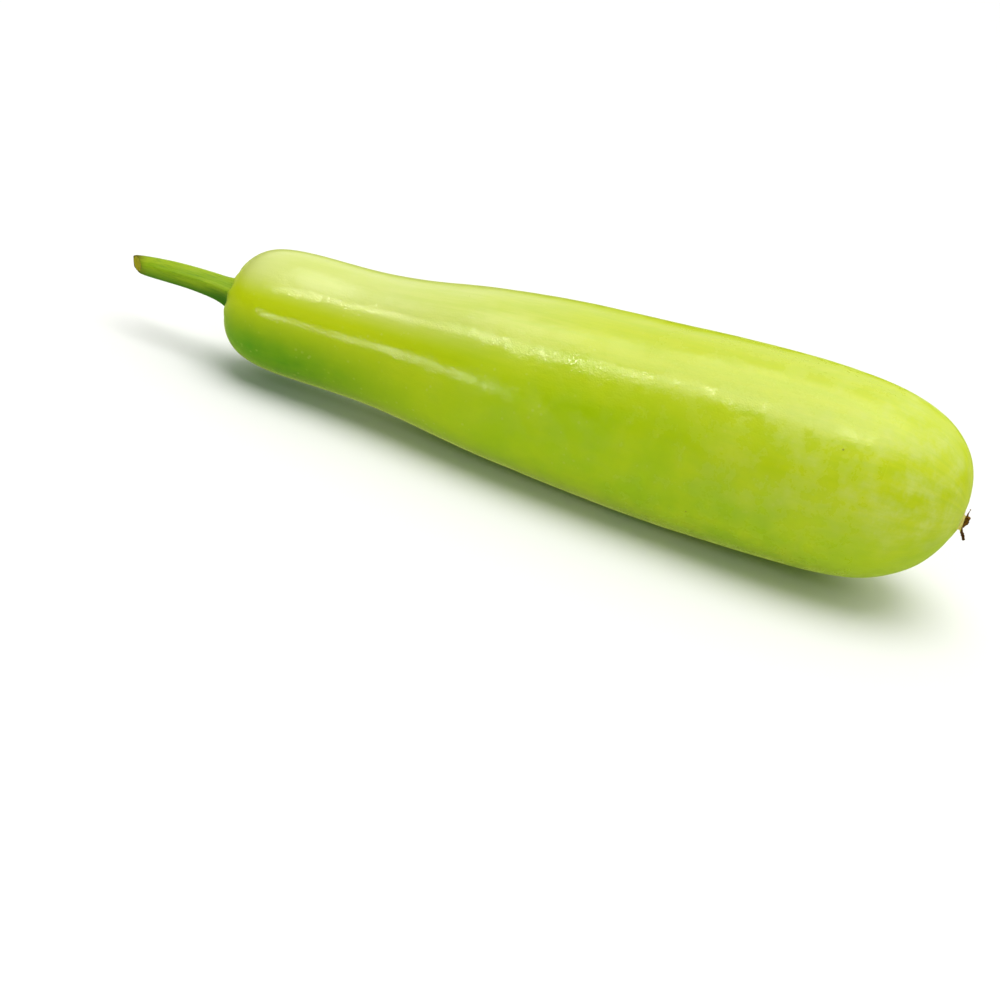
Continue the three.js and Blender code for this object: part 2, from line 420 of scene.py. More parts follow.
# %% [markdown]
# Three places decide whether the stalk looks grown on: its foot, its bend and its cut. The
# foot follows the skin point by point and is pushed a little into it, so that no crack
# shows. This stalk was cut on a slant, so its last centimetre leans more and more towards
# the slanting face. The face itself is hollowed, as the pith dries and shrinks, and ten low
# bundles of fibre stand up in it. It is laid out ring by ring, like the fruit.

# %% Build the stalk
FOOT_SHARES = (0, 0.5, 0.8, 0.94, 1.0)
FOOT_RINGS = len(FOOT_SHARES)
FOOT_SINK = 0.35
FOOT_BLEND = 3
FLARE = 0.05
FLARE_REACH = 2.5
STALK_RINGS = 170
CUT_SIDE = 1
CUT_DROP = 0.2
CUT_REACH = 12
CUT_RINGS = 14
CUT_HOLLOW = 0.55
BUNDLE_HEIGHT = 0.07
NEAR_POLE = 900


def seat_rings(radius):
    """Points of the bare skin at the given radii round the stalk's pole, pushed in."""
    share = np.interp(radius, OUTLINE_CURVE[:NEAR_POLE, 1], FINE[:NEAR_POLE])
    seat = skin_points(share, np.broadcast_to(STALK_ANGLES, radius.shape), fine=False)
    seat[..., 0] += FOOT_SINK
    return seat


def cut_slant(out, y, z):
    """How far the slanting cut draws each point out, from nothing to all of it."""
    reach = np.clip((out - STALK_LENGTH + CUT_REACH) / CUT_REACH, 0, 1)
    return reach ** 2 * (3 - 2 * reach) * (CUT_SIDE * y + CUT_DROP * z)


def cut_face(rim):
    """Rings that close the cut from its rim to its middle."""
    middle = rim.mean(axis=0)
    bundles = BUNDLE_HEIGHT * np.cos(2 * LOBES * STALK_ANGLES[0])
    rings = []
    for step in range(1, CUT_RINGS + 1):
        share = 1 - step / CUT_RINGS
        ring = middle + (rim - middle) * share
        ring[:, 0] += CUT_HOLLOW * (1 - share ** 2) ** 1.5 - bundles * soft_ring(share, 0.62, 0.14)
        rings.append(ring)
    return np.array(rings)


def stalk_points():
    """All rings of the stalk, from the middle of its foot to the middle of its cut."""
    side = open_spline(STALK_OUTLINE, np.linspace(0, 1, STALK_RINGS))
    out = side[:, :1]
    flare = 1 + FLARE * np.cos(LOBES * STALK_ANGLES) * np.exp(-out / FLARE_REACH)
    radius = side[:, 1:] * stalk_section(STALK_ANGLES, out) * flare
    foot = np.array(FOOT_SHARES)[:, None] * STALK_FOOT_RADIUS
    foot = foot * stalk_section(STALK_ANGLES, 0) * flare[:1]
    seat = seat_rings(np.vstack([foot, radius]))

    joint = skin_pole(0.0)
    start = joint[0] + (seat[FOOT_RINGS:, :, 0] - joint[0]) * np.exp(-out / FOOT_BLEND)
    y = radius * np.sin(STALK_ANGLES)
    z = radius * np.cos(STALK_ANGLES)
    rise_curve = open_spline(STALK_RISE, FINE)
    rise = np.interp(out, rise_curve[:, 0], rise_curve[:, 1])
    tube = np.stack([
        start - out - cut_slant(out, y, z),
        joint[1] + y,
        joint[2] + rise + z,
    ], axis=-1)
    return np.concatenate([seat[:FOOT_RINGS], tube, cut_face(tube[-1])])


stalk_grid = stalk_points()
stalk = add_piece("gourd_stalk", ring_mesh("gourd_stalk", stalk_grid))
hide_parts("stem")
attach(stalk, "root")
print("stalk:", len(stalk.data.polygons), "faces")

# %% [markdown]
# The dried rest of the blossom is small, but the eye finds it at once: a corky disc on the
# scar, a shrivelled brown knob, one strand that hangs in a hook, and a short hair. The last
# three are tubes along smooth curves. Blender's own curves with a bevel would do, but tubes
# made here can also taper, close at both ends and carry folds that turn as they run down.

# %% Paths and shells
PATH_STEPS = 60
SHELL_RINGS = 60
SHELL_SIDES = 36
CAP_SHARE = 0.125
FOLD_TURN = 7


def smooth_path(points, count):
    """Evenly spaced points of a Catmull-Rom curve through the given ones."""
    points = np.array(points, dtype=float)
    padded = np.vstack([2 * points[0] - points[1], points, 2 * points[-1] - points[-2]])
    fine = []
    for i in range(len(points) - 1):
        a, b, c, d = padded[i:i + 4]
        for t in np.linspace(0, 1, PATH_STEPS, endpoint=False):
            fine.append(0.5 * (
                2 * b + (c - a) * t + (2 * a - 5 * b + 4 * c - d) * t ** 2
                + (3 * b - a - 3 * c + d) * t ** 3
            ))
    fine = np.array(fine + [points[-1]])
    steps = np.concatenate([[0], np.cumsum(np.linalg.norm(np.diff(fine, axis=0), axis=1))])
    even = np.linspace(0, steps[-1], count)
    return np.stack([np.interp(even, steps, fine[:, k]) for k in range(3)], axis=1)


def shell_radius(share, radii):
    """Radius down a shell, with a round cap at both ends."""
    radius = np.interp(share, np.linspace(0, 1, len(radii)), radii)
    end = np.minimum(share, 1 - share)
    cap = np.sqrt(np.clip(1 - (1 - end / CAP_SHARE) ** 2, 0, 1))
    widest = max(radii[1], radii[-2])
    return np.where(end < CAP_SHARE, np.maximum(radius, widest) * cap, radius)


def shell(points, radii, fold, folds):
    """Rings of a closed shell along a path, with so many folds of the given share."""
    path = smooth_path(points, SHELL_RINGS)
    share = np.linspace(0, 1, SHELL_RINGS)
    tangent = np.gradient(path, axis=0)
    tangent /= np.linalg.norm(tangent, axis=1, keepdims=True)
    side = np.cross(tangent, (0, 1, 0))
    side /= np.linalg.norm(side, axis=1, keepdims=True)
    other = np.cross(tangent, side)
    angle = round_angles(SHELL_SIDES)
    crease = 1 + fold * np.cos(folds * angle + FOLD_TURN * share[:, None])
    reach = shell_radius(share, radii)[:, None] * crease
    return (
        path[:, None, :] + reach[..., None] * np.cos(angle)[..., None] * side[:, None, :]
        + reach[..., None] * np.sin(angle)[..., None] * other[:, None, :]
    )


print("a shell has", SHELL_RINGS, "rings of", SHELL_SIDES, "points")

# %% [markdown]
# Each piece of the rest is placed by three distances from the blossom pole: out from the
# skin, up along it, and sideways. That way the rest stays on the skin if the fruit changes.
# The disc hugs the skin: its rings take their places from the skin's own points and are
# then lifted off it, and a ragged edge keeps it from looking like a washer.

# %% Shells of the blossom rest
REST_GAP = 0.05
DISC_RADIUS = 3.3
DISC_THICKNESS = 0.95
DISC_RAGGED = 0.09
DISC_SIDES = 72
DISC_SHARES = (0, 0.5, 0.85, 1, 1.02, 0.95, 0.75, 0.4, 0)
DISC_LIFTS = (-0.4, -0.4, -0.4, -0.3, 0.25, 0.65, 0.9, 1.05, 1.1)
KNOB_POINTS = ((0.9, -2.8, 0.0), (1.4, -1.2, 0.1), (1.8, 0.9, -0.1), (2.2, 3.5, -0.1))
KNOB_RADII = (0, 0.65, 0.8, 0.95, 1.05, 1.15, 1.0, 0)
STRAND_POINTS = ((1.2, -1.9, -0.6), (1.5, -2.8, -0.8), (2.9, -4.6, -0.7), (4.3, -6.6, -0.3))
STRAND_RADII = (0, 0.7, 0.68, 0.66, 0.64, 0.64, 0.62, 0.54, 0)
HAIR_POINTS = ((1.4, 2.6, 0.3), (1.3, 4.7, 0.5), (1.4, 6.6, 0.6))
HAIR_RADII = (0, 0.36, 0.32, 0.28, 0)


def scar_share(radius):
    """Outline share near the blossom pole at which the skin has the given radius."""
    near = OUTLINE_CURVE[-NEAR_POLE:][::-1]
    return np.interp(radius, near[:, 1], FINE[-NEAR_POLE:][::-1])


def scar_axes():
    """Out, up and sideways at the blossom scar, as unit vectors."""
    edge = scar_share(np.array([[DISC_RADIUS, DISC_RADIUS]]))
    above, below = skin_points(edge, np.array([[0, math.pi]]), fine=False)[0]
    sideways = np.array((0.0, 1.0, 0.0))
    upward = (above - below) / np.linalg.norm(above - below)
    return np.cross(sideways, upward), upward, sideways


def disc_rings(outward):
    """Rings of the corky disc, from its underside over the ragged edge to its top."""
    angle = round_angles(DISC_SIDES)
    waves = np.cos(2 * angle + 0.6) + 0.5 * np.cos(5 * angle) + 0.35 * np.cos(11 * angle + 2)
    radius = np.array(DISC_SHARES)[:, None] * DISC_RADIUS * (1 + DISC_RAGGED * waves)
    lift = np.array(DISC_LIFTS)[:, None] * DISC_THICKNESS
    seat = skin_points(scar_share(radius), np.broadcast_to(angle, radius.shape), fine=False)
    return seat + outward * (REST_GAP + lift)[..., None]


def blossom_shells():
    pole = skin_pole(1.0)
    outward, upward, sideways = scar_axes()

    def placed(points):
        return [
            pole + outward * (REST_GAP + out) + upward * up + sideways * side
            for out, up, side in points
        ]

    return [
        disc_rings(outward),
        shell(placed(KNOB_POINTS), KNOB_RADII, 0.16, folds=3),
        shell(placed(STRAND_POINTS), STRAND_RADII, 0.1, folds=2),
        shell(placed(HAIR_POINTS), HAIR_RADII, 0.05, folds=2),
    ]


rest_shells = blossom_shells()
print("shells of the blossom rest:", len(rest_shells))

# %% [markdown]
# The shells cross each other, so a voxel remesh joins them into one closed skin. A boolean
# union would do that too, but the remesh also softens the joints, as dried tissue does, and
# leaves an even mesh. Noise of two sizes then crumples the whole piece along its normals.

# %% Build the blossom rest
REST_VOXEL = 0.13
SMOOTH_SHARE = 0.5
SMOOTH_TIMES = 3
# Each pair is a size and a height in millimetres.
CRUMPLES = ((1.3, 0.28), (0.6, 0.16))


def outward_mesh(name, grid):
    """A ring mesh whose faces point outwards, which the remesh needs."""
    mesh = ring_mesh(name, grid)
    mesh.update()
    corners = np.array([[mesh.vertices[i].co for i in face.vertices[:3]] for face in mesh.polygons])
    volume = (corners[:, 0] * np.cross(corners[:, 1], corners[:, 2])).sum()
    if volume < 0:
        mesh.flip_normals()
    return mesh


def join_meshes(name, meshes):
    vertices = []
    faces = []
    for mesh in meshes:
        start = len(vertices)
        vertices += [tuple(vertex.co) for vertex in mesh.vertices]
        faces += [tuple(start + i for i in face.vertices) for face in mesh.polygons]
    joined = bpy.data.meshes.new(name)
    joined.from_pydata(vertices, [], faces)
    return joined


def remeshed(name, rough):
    """One skin round shells that cross, made by the voxel remesh and then kept as a mesh."""
    helper = add_piece(name + "_rough", rough)
    remesh = helper.modifiers.new("remesh", "REMESH")
    remesh.mode = "VOXEL"
    remesh.voxel_size = REST_VOXEL * MM
    smooth = helper.modifiers.new("smooth", "SMOOTH")
    smooth.factor = SMOOTH_SHARE
    smooth.iterations = SMOOTH_TIMES
    depsgraph = bpy.context.evaluated_depsgraph_get()
    mesh = bpy.data.meshes.new_from_object(helper.evaluated_get(depsgraph))
    mesh.name = name
    bpy.data.objects.remove(helper)
    return mesh


def crumple(mesh):
    """Pushes each point along its normal by noise of several sizes."""
    normals = [vertex.normal.copy() for vertex in mesh.vertices]
    for vertex, normal in zip(mesh.vertices, normals):
        point = vertex.co / MM
        push = sum(height * noise.noise(point / size) for size, height in CRUMPLES)
        vertex.co += normal * push * MM
    mesh.shade_smooth()


rough_rest = join_meshes("blossom_rough", [outward_mesh("shell", grid) for grid in rest_shells])
rest_mesh = remeshed("gourd_blossom_rest", rough_rest)
crumple(rest_mesh)
blossom_rest = add_piece("gourd_blossom_rest", rest_mesh)
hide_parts("blossom_remnant")
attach(blossom_rest, "root")
print("blossom rest:", len(rest_mesh.polygons), "faces")

# %% [markdown]
# Finishes are built from nodes that read the object's own coordinates, so they stay on the
# piece from every side. Painted textures would need the surface unwrapped first, and noise
# in space has no seam. A few small helpers keep the node trees readable. They add a node
# and fill its sockets, make noise of a given size in millimetres, turn a range of values
# into a share, and mix two colours by a share.

# %% Helpers for finishes
def plug(tree, node, sockets):
    """Fills a node's sockets, each with a value or with another node's output."""
    for name, value in sockets.items():
        if isinstance(value, bpy.types.NodeSocket):
            tree.links.new(value, node.inputs[name])
        else:
            node.inputs[name].default_value = value


def add_node(tree, kind, sockets=None, **settings):
    """Adds a node of the given kind with its settings, and fills its sockets."""
    node = tree.nodes.new("ShaderNode" + kind)
    for name, value in settings.items():
        setattr(node, name, value)
    plug(tree, node, sockets or {})
    return node


def calc(tree, how, first, second):
    return add_node(tree, "Math", {0: first, 1: second}, operation=how).outputs[0]


def plus(tree, first, second):
    return calc(tree, "ADD", first, second)


def times(tree, first, second):
    return calc(tree, "MULTIPLY", first, second)


def grain(tree, place, size, detail=2.0, roughness=0.5):
    """Noise whose lumps are about the given size in millimetres."""
    sockets = {"Vector": place, "Scale": 1 / (size * MM), "Detail": detail, "Roughness": roughness}
    return add_node(tree, "TexNoise", sockets).outputs["Fac"]


def ranged(tree, value, low, high, start=0.0, end=1.0):
    """Maps low..high to start..end with soft ends, and stays between them."""
    sockets = {"Value": value, "From Min": low, "From Max": high, "To Min": start, "To Max": end}
    return add_node(tree, "MapRange", sockets, interpolation_type="SMOOTHSTEP").outputs["Result"]


def share_of(tree, *ranges):
    """The product of several ranges, each written as for ranged()."""
    total = ranged(tree, *ranges[0])
    for limits in ranges[1:]:
        total = times(tree, total, ranged(tree, *limits))
    return total


def tint(tree, share, first, second):
    """Mixes two colours by a share; each may be a colour or an output."""
    colours = [(*value, 1) if isinstance(value, tuple) else value for value in (first, second)]
    sockets = {0: share, 6: colours[0], 7: colours[1]}
    return add_node(tree, "Mix", sockets, data_type="RGBA").outputs[2]


def add_bump(tree, shader, height, reach, strength=1.0):
    """Tilts the shader's normals by a height, whose full range is the reach in metres."""
    bump = add_node(tree, "Bump", {"Strength": strength, "Distance": reach, "Height": height})
    plug(tree, shader, {"Normal": bump.outputs[0]})


def new_finish(name):
    """A new material with its tree, its shader and the object's coordinates."""
    finish = bpy.data.materials.new(name)
    finish.use_nodes = True
    tree = finish.node_tree
    place = add_node(tree, "TexCoord").outputs["Object"]
    return finish, tree, tree.nodes["Principled BSDF"], place


# %% [markdown]
# The skin's finish is made in layers from large to small, each in a cell of its own, and
# each layer needs to know where on the gourd a point lies. So the first nodes turn its
# place into measures: the station from the stalk, the height above the axis, the radius,
# the direction round the axis, and how far the skin faces up. Close to the poles that last
# one would turn too fast and draw a star, so the radius in it is kept above a smallest
# value. Two noises, broad clouds and a finer mottle, are shared by several layers.

# %% Measures of the skin
CAP_RADIUS = 0.024


def square_to_x(tree, y, z):
    """A vector square to the gourd's length."""
    return add_node(tree, "CombineXYZ", {"X": 0.0, "Y": y, "Z": z}).outputs[0]


def length_of(tree, vector):
    return add_node(tree, "VectorMath", {0: vector}, operation="LENGTH").outputs["Value"]


skin, tree, shader, place = new_finish("gourd_skin")
x, y, z = add_node(tree, "SeparateXYZ", {"Vector": place}).outputs
station = plus(tree, x, MIDDLE_X * MM)
# The axis climbs almost evenly, so a straight line stands in for it here.
axis = add_node(tree, "MapRange", {
    "Value": station, "From Min": 0.0, "From Max": 0.28, "To Min": 0.0296, "To Max": 0.046,
}).outputs["Result"]
above = calc(tree, "SUBTRACT", z, axis)
off_axis = square_to_x(tree, y, above)
around = add_node(tree, "VectorMath", {0: off_axis}, operation="NORMALIZE").outputs[0]
radius = length_of(tree, off_axis)
facing_up = calc(tree, "DIVIDE", above, calc(tree, "MAXIMUM", radius, CAP_RADIUS))
clouds = grain(tree, place, 26, detail=3, roughness=0.6)
mottle = grain(tree, place, 9, detail=4, roughness=0.65)
print("skin measures:", len(tree.nodes), "nodes")

# %% [markdown]
# The ground of the skin is lime green. It is yellower on the neck and lighter on the belly,
# and deeper at the waist, more so on its lower side. The lower half is a deeper green, partly
# the skin's own and partly painted shade, and painted shade also makes it a full green under
# the neck and deeper on the belly's underside. The top is paler, partly from a paler skin and
# partly from painted light from above, and a painted sheen makes the neck's top nearly white.
# One gradient from end to end would miss most of this, so each zone is a share of its own,
# made from ranges of the measures. The zones are laid over one another, and wide ranges keep
# their borders from showing.

# %% Greens of the skin
LIME = (0.47, 0.61, 0.002)
DEEP_LIME = (0.34, 0.55, 0.001)
NECK_LIME = (0.58, 0.66, 0.004)
# Painted shade under the neck.
NECK_SHADE = (0.04, 0.27, 0.001)
# Painted light on the top, partly a paler upper skin.
TOP_PAINTED_LIGHT = (0.55, 0.64, 0.015)
# Painted sheen on the neck's top.
NECK_PAINTED_SHEEN = (0.64, 0.71, 0.20)
BELLY_LIME = (0.60, 0.70, 0.008)

# The lower half turns a deeper green, partly the skin's own and partly painted shade.
cloudy_height = plus(tree, above, times(tree, clouds, 0.012))
low = ranged(tree, cloudy_height, 0.020, -0.030)
colour = tint(tree, low, LIME, DEEP_LIME)
neck = ranged(tree, station, 0.13, 0.05, 0.0, 0.5)
colour = tint(tree, neck, colour, NECK_LIME)
# Painted shade: a dark green under the neck.
neck_painted_shade = share_of(tree, (station, 0.12, 0.02), (facing_up, 0.32, -0.60))
colour = tint(tree, neck_painted_shade, colour, NECK_SHADE)
# The upper side is paler: painted light from above, and partly a paler skin.
top_painted_light = ranged(tree, facing_up, 0.40, 0.85)
colour = tint(tree, top_painted_light, colour, TOP_PAINTED_LIGHT)
# Painted sheen: the neck's top is made nearly white.
neck_top_painted_sheen = share_of(tree, (station, 0.18, 0.07), (facing_up, 0.36, 0.80))
colour = tint(tree, neck_top_painted_sheen, colour, NECK_PAINTED_SHEEN)
waist = share_of(
    tree, (station, 0.10, 0.15), (station, 0.23, 0.18), (facing_up, 0.50, 0.20, 0.0, 0.6),
)
colour = tint(tree, waist, colour, DEEP_LIME)
belly = ranged(tree, station, 0.235, 0.295, 0.0, 0.75)
colour = tint(tree, belly, colour, BELLY_LIME)
# Painted shade: the belly's underside turns a deeper green.
belly_painted_shade = share_of(tree, (facing_up, 0.15, -0.55), (station, 0.12, 0.20, 0.0, 0.6))
colour = tint(tree, belly_painted_shade, colour, DEEP_LIME)
print("with greens:", len(tree.nodes), "nodes")

# %% [markdown]
# Pale clouds lie over the greens, faint on the neck and clearer towards the blossom end,
# where a whitish bloom dulls the upper skin. The veins are too faint to see one by one, but
# they draw the colour out lengthwise. Their noise is made in a place of its own, in which a
# step along the gourd counts for less than a step round it, so its lumps become streaks.

# %% Clouds, bloom and veins
PALE_LIME = (0.56, 0.67, 0.006)
BLOOM = (0.66, 0.74, 0.19)
VEINS_ROUND = (1.0, 7.0, 7.0)
VEINS_ALONG = 26.0
VEIN_SCALE = 1.6


def stretched(tree, place, factors):
    """The place with each axis times its own factor, which draws out a noise."""
    return add_node(tree, "VectorMath", {0: place, 1: factors}, operation="MULTIPLY").outputs[0]


cloud_share = share_of(tree, (clouds, 0.42, 0.68, 0.0, 0.55), (station, 0.04, 0.30, 0.25, 1.0))
colour = tint(tree, cloud_share, colour, PALE_LIME)
bloom = share_of(
    tree, (mottle, 0.36, 0.76, 0.0, 0.65), (station, 0.19, 0.315), (low, 0.0, 0.7, 1.0, 0.1),
)
colour = tint(tree, bloom, colour, BLOOM)

along = times(tree, station, VEINS_ALONG)
run = add_node(tree, "CombineXYZ", {"X": along, "Y": 0.0, "Z": 0.0}).outputs[0]
vein_sockets = {0: stretched(tree, around, VEINS_ROUND), 1: run}
vein_place = add_node(tree, "VectorMath", vein_sockets, operation="ADD").outputs[0]
veins = add_node(tree, "TexNoise", {
    "Vector": vein_place, "Scale": VEIN_SCALE, "Detail": 5.0, "Roughness": 0.7,
}).outputs["Fac"]
vein_share = share_of(tree, (veins, 0.38, 0.64), (station, 0.01, 0.16, 0.05, 0.22))
colour = tint(tree, vein_share, colour, DEEP_LIME)
print("with clouds and veins:", len(tree.nodes), "nodes")

# %% [markdown]
# Small marks come last: pale freckles of about a millimetre, which the mottle thins out, a
# few dark specks, a green ring round the stalk and a pale yellow one round the scar. Cell
# noise suits dots, since each cell holds one, and its spacing can be set from a ruler.

# %% Freckles, specks and rings
FRECKLE = (0.64, 0.71, 0.15)
FRECKLE_SPACING = 3.4
SPECK = (0.16, 0.15, 0.01)
SPECK_SPACING = 19
STALK_RING = (0.20, 0.42, 0.01)
SCAR_RING = (0.78, 0.70, 0.22)


def cell_distance(tree, place, spacing):
    """Distance from each cell's own point, for cells so many millimetres wide."""
    sockets = {"Vector": place, "Scale": 1 / (spacing * MM), "Randomness": 1.0}
    return add_node(tree, "TexVoronoi", sockets).outputs["Distance"]


freckle_cells = cell_distance(tree, place, FRECKLE_SPACING)
freckles = share_of(tree, (freckle_cells, 0.26, 0.10), (mottle, 0.46, 0.62, 0.0, 0.22))
colour = tint(tree, freckles, colour, FRECKLE)
specks = ranged(tree, cell_distance(tree, place, SPECK_SPACING), 0.035, 0.018, 0.0, 0.7)
colour = tint(tree, specks, colour, SPECK)
stalk_ring = share_of(tree, (station, 0.0045, 0.0015), (radius, 0.016, 0.007, 0.0, 0.8))
colour = tint(tree, stalk_ring, colour, STALK_RING)
scar_ring = share_of(tree, (station, 0.3165, 0.319), (radius, 0.0085, 0.004))
colour = tint(tree, scar_ring, colour, SCAR_RING)
print("with small marks:", len(tree.nodes), "nodes")

# %% [markdown]
# The gloss changes along the gourd: a clean, shiny neck and a duller, patchy belly. The
# grain is an orange peel of two sizes over shallow dimples. It breaks a highlight into
# small sparks, so it is strongest on the neck and flanks, and weaker on the belly and the
# very top, where it would look like dirt at a flat angle. A little light passes through the
# rind, and a thin wax coat and a faint sheen soften its edge.

# %% Gloss and grain of the skin
# Each pair is a size in millimetres and a share of the height.
SKIN_GRAIN = ((1.8, 0.4), (0.7, 0.45), (6.0, 1.0))

dull = ranged(tree, station, 0.17, 0.30, 0.10, 0.28)
patchy = share_of(tree, (mottle, 0.42, 0.58, 0.0, 0.17), (station, 0.06, 0.16, 0.3, 1.0))
height = 0.0
for size, height_share in SKIN_GRAIN:
    height = plus(tree, height, times(tree, grain(tree, place, size, detail=1), height_share))
bump_reach = share_of(
    tree, (clouds, 0.38, 0.62, 0.00014, 0.00020), (station, 0.14, 0.27, 1.0, 0.6),
    (facing_up, 0.70, 0.97, 1.0, 0.35),
)
add_bump(tree, shader, height, bump_reach)
plug(tree, shader, {
    "Base Color": colour,
    "Roughness": plus(tree, dull, patchy),
    "IOR": 1.5,
    "Specular Tint": (1.0, 1.0, 0.75, 1.0),
    "Subsurface Weight": 0.12,
    "Subsurface Radius": (1.0, 0.9, 0.2),
    "Subsurface Scale": 0.004,
    "Coat Weight": 0.06,
    "Coat Roughness": 0.4,
    "Coat IOR": 1.5,
    "Sheen Weight": 0.04,
    "Sheen Roughness": 0.45,
    "Sheen Tint": (0.95, 1.0, 0.75, 1.0),
})
fruit.data.materials.append(skin)
print("skin finish:", len(tree.nodes), "nodes")

# %% [markdown]
# The stalk is a deeper green than the skin, in pale and dark bands with fibres that run
# along it. Painted shade makes it darkest below and at the foot, and it has browned for a
# centimetre behind the cut. Bands and fibres are one kind of noise, drawn out lengthwise by
# shrinking the place along X. The browning starts at an uneven line, because blotches are
# added to the distance from the cut before it is turned into a share.

# %% Finish of the stalk
STALK_GREEN = (0.23, 0.39, 0.001)
STALK_PALE = (0.32, 0.46, 0.006)
# Painted shade for the stalk's underside and foot.
STALK_PAINTED_SHADE = (0.02, 0.15, 0.001)
STALK_FIBRE = (0.11, 0.26, 0.001)
STALK_BROWN = (0.16, 0.13, 0.008)
ALONG_STALK = (0.09, 1.0, 1.0)
CUT_X = -(MIDDLE_X + STALK_LENGTH) * MM
FOOT_X = -0.139


def stalk_finish():
    finish, tree, shader, place = new_finish("stalk_green")
    parts = add_node(tree, "SeparateXYZ", {"Vector": place}).outputs
    x = parts["X"]
    long_place = stretched(tree, place, ALONG_STALK)
    fibres = grain(tree, long_place, 0.9, detail=4, roughness=0.7)
    bands = grain(tree, long_place, 3.4, detail=2)
    blotches = grain(tree, place, 5, detail=3, roughness=0.6)

    colour = tint(tree, ranged(tree, bands, 0.38, 0.62), STALK_GREEN, STALK_PALE)
    colour = tint(tree, ranged(tree, fibres, 0.48, 0.72, 0.0, 0.7), colour, STALK_FIBRE)
    # Heights are measured from the stalk's own middle line, which sinks towards the cut.
    middle = ranged(tree, x, CUT_X, FOOT_X, 0.0279, 0.0305)
    above = calc(tree, "SUBTRACT", parts["Z"], middle)
    # Painted shade: the underside of the stalk is darker.
    colour = tint(tree, ranged(tree, above, 0.0012, -0.0034, 0.0, 0.9), colour, STALK_PAINTED_SHADE)
    # Painted shade at the foot, where the stalk meets the skin.
    foot = share_of(tree, (x, -0.152, FOOT_X, 0.0, 0.7), (above, 0.003, -0.001))
    colour = tint(tree, foot, colour, STALK_PAINTED_SHADE)
    uneven = plus(tree, x, times(tree, blotches, 0.008))
    browned = ranged(tree, uneven, CUT_X + 0.0125, CUT_X + 0.003, 0.0, 0.9)
    colour = tint(tree, browned, colour, STALK_BROWN)

    add_bump(tree, shader, plus(tree, fibres, times(tree, blotches, 0.4)), 0.00018, strength=0.8)
    plug(tree, shader, {
        "Base Color": colour,
        "Roughness": ranged(tree, blotches, 0.3, 0.7, 0.42, 0.60),
        "IOR": 1.38,
        "Specular Tint": (1.0, 1.0, 0.5, 1.0),
        "Subsurface Weight": 0.05,
        "Subsurface Radius": (0.8, 1.0, 0.2),
        "Subsurface Scale": 0.002,
    })
    return finish


stalk.data.materials.append(stalk_finish())
print("stalk finish:", len(stalk.data.materials[0].node_tree.nodes), "nodes")

# %% [markdown]
# The cut face is a second finish on the same mesh: yellow-brown, spongy pith with a dark,
# dried edge. A piece can carry several materials, and each face says which one it wears.
# The rings of the cut come last in the mesh, so its faces are known by their point numbers.

# %% Finish of the cut
PITH = (0.38, 0.36, 0.006)
PITH_EDGE = (0.10, 0.065, 0.01)


def pith_finish():
    finish, tree, shader, place = new_finish("stalk_cut")
    parts = add_node(tree, "SeparateXYZ", {"Vector": place}).outputs
    rim = stalk_grid[FOOT_RINGS + STALK_RINGS - 1].mean(axis=0) * MM
    side = plus(tree, parts["Y"], -float(rim[1]))
    above = plus(tree, parts["Z"], -float(rim[2]))
    sponge = grain(tree, place, 0.7, detail=4, roughness=0.7)
    from_middle = length_of(tree, square_to_x(tree, side, above))
    ragged = plus(tree, from_middle, times(tree, sponge, 0.0012))
    colour = tint(tree, ranged(tree, ragged, 0.0030, 0.0039), PITH, PITH_EDGE)
    colour = tint(tree, ranged(tree, sponge, 0.45, 0.70, 0.0, 0.5), colour, PITH_EDGE)
    add_bump(tree, shader, sponge, 0.0003)
    plug(tree, shader, {"Base Color": colour, "Roughness": 0.85, "Specular IOR Level": 0.15})
    return finish


stalk.data.materials.append(pith_finish())
first_cut = 1 + (FOOT_RINGS + STALK_RINGS - 2) * STALK_SIDES
cut_faces = [face for face in stalk.data.polygons if min(face.vertices) >= first_cut]
for face in cut_faces:
    face.material_index = 1
print("cut face:", len(cut_faces), "faces")

# %% [markdown]
# The blossom rest is dead, corky tissue. It is dark brown, nearly black in its creases and
# down the strand, with worn high spots of a warmer brown, and it has almost no gloss. Close
# to the skin the disc is still pale, where the cork has only begun to dry. Lumps and crumbs
# of noise drive colour, roughness and bump together, so the dark spots are also the low ones.

# %% Finish of the blossom rest
CORK = (0.19, 0.085, 0.003)
CORK_DARK = (0.045, 0.012, 0.001)
CORK_WORN = (0.38, 0.22, 0.02)
CORK_RIM = (0.74, 0.66, 0.17)
SCAR_X = (FRUIT_LENGTH - MIDDLE_X) * MM


def cork_finish():
    finish, tree, shader, place = new_finish("dry_cork")
    parts = add_node(tree, "SeparateXYZ", {"Vector": place}).outputs
    lumps = grain(tree, place, 1.1, detail=4, roughness=0.65)
    crumbs = grain(tree, place, 0.35, detail=3, roughness=0.6)
    colour = tint(tree, ranged(tree, lumps, 0.40, 0.62), CORK_DARK, CORK)
    colour = tint(tree, ranged(tree, crumbs, 0.56, 0.72, 0.0, 0.6), colour, CORK_WORN)
    strand = ranged(tree, parts["Z"], 0.0408, 0.0388, 0.0, 0.8)
    colour = tint(tree, strand, colour, CORK_DARK)
    crumbly = plus(tree, parts["X"], times(tree, crumbs, 0.0004))
    near_skin = ranged(tree, crumbly, SCAR_X + 0.0013, SCAR_X + 0.0009)
    colour = tint(tree, near_skin, colour, CORK_RIM)
    add_bump(tree, shader, plus(tree, lumps, times(tree, crumbs, 0.5)), 0.0003)
    plug(tree, shader, {
        "Base Color": colour,
        "Roughness": ranged(tree, lumps, 0.3, 0.7, 0.95, 0.75),
        "Specular IOR Level": 0.15,
    })
    return finish


rest_mesh.materials.clear()
rest_mesh.materials.append(cork_finish())
print("cork finish:", len(rest_mesh.materials[0].node_tree.nodes), "nodes")

